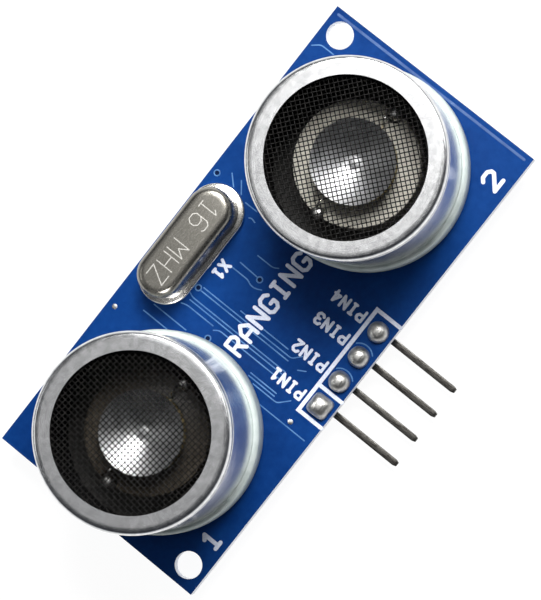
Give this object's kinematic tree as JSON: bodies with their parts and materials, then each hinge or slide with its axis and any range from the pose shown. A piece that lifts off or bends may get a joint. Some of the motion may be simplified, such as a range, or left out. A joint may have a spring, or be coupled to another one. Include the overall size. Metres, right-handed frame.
{
  "type": "ultrasonic distance sensor",
  "caption": "Flat blue circuit board with open round aluminium ultrasonic transducers, a metal-cased quartz crystal and a right-angle pin header.",
  "frame": {"origin": "bottom centre of the bounding box, in the plane of the header strip underside", "axes": "+X from the transmitter to the receiver along the board, +Y away from the header pins, +Z out of the transducers; the board lies on its back"},
  "size_m": [0.045, 0.0268, 0.0157],
  "materials": {
    "solder_mask": "gloss",
    "can_aluminium": "satin",
    "grille_mesh": "satin",
    "black_plastic": "matte",
    "cream_plastic": "matte",
    "silicone": "matte",
    "brass_plate": "satin",
    "piezo_ceramic": "matte",
    "cone_aluminium": "satin",
    "crystal_metal": "satin",
    "quartz": "gloss",
    "tinned_metal": "satin",
    "pin_metal": "satin",
    "solder": "satin",
    "lead_wire": "satin",
    "chip_resin": "matte",
    "resistor_body": "satin",
    "capacitor_body": "matte",
    "silkscreen_ink": "matte",
    "copper_trace": "gloss"
  },
  "bodies": {
    "root": {"circuit_board": "solder_mask", "transmitter_can": "can_aluminium", "transmitter_grille": "grille_mesh", "transmitter_base": "black_plastic", "transmitter_holder": "black_plastic", "transmitter_damping_ring": "silicone", "transmitter_piezo_plate": "brass_plate", "transmitter_piezo_ceramic": "piezo_ceramic", "transmitter_cone": "cone_aluminium", "transmitter_pin_a": "tinned_metal", "transmitter_solder_a": "solder", "transmitter_wire_a": "lead_wire", "transmitter_pin_b": "tinned_metal", "transmitter_solder_b": "solder", "transmitter_wire_b": "lead_wire", "receiver_can": "can_aluminium", "receiver_grille": "grille_mesh", "receiver_base": "black_plastic", "receiver_holder": "cream_plastic", "receiver_damping_ring": "silicone", "receiver_piezo_plate": "brass_plate", "receiver_piezo_ceramic": "piezo_ceramic", "receiver_cone": "cone_aluminium", "receiver_pin_a": "tinned_metal", "receiver_solder_a": "solder", "receiver_wire_a": "lead_wire", "receiver_pin_b": "tinned_metal", "receiver_solder_b": "solder", "receiver_wire_b": "lead_wire", "crystal_can": "crystal_metal", "crystal_base": "crystal_metal", "crystal_quartz": "quartz", "crystal_lead_a": "tinned_metal", "crystal_solder_a": "solder", "crystal_lead_b": "tinned_metal", "crystal_solder_b": "solder", "header_strip": "black_plastic", "header_pin_1": "pin_metal", "header_solder_1": "solder", "header_pin_2": "pin_metal", "header_solder_2": "solder", "header_pin_3": "pin_metal", "header_solder_3": "solder", "header_pin_4": "pin_metal", "header_solder_4": "solder", "driver_chip": "chip_resin", "controller_chip": "chip_resin", "amplifier_chip": "chip_resin", "transistor": "chip_resin", "resistor_1": "resistor_body", "resistor_2": "resistor_body", "resistor_3": "resistor_body", "resistor_4": "resistor_body", "resistor_5": "resistor_body", "resistor_6": "resistor_body", "resistor_7": "resistor_body", "capacitor_1": "capacitor_body", "capacitor_2": "capacitor_body", "capacitor_3": "capacitor_body", "capacitor_4": "capacitor_body"}
  },
  "joints": []
}
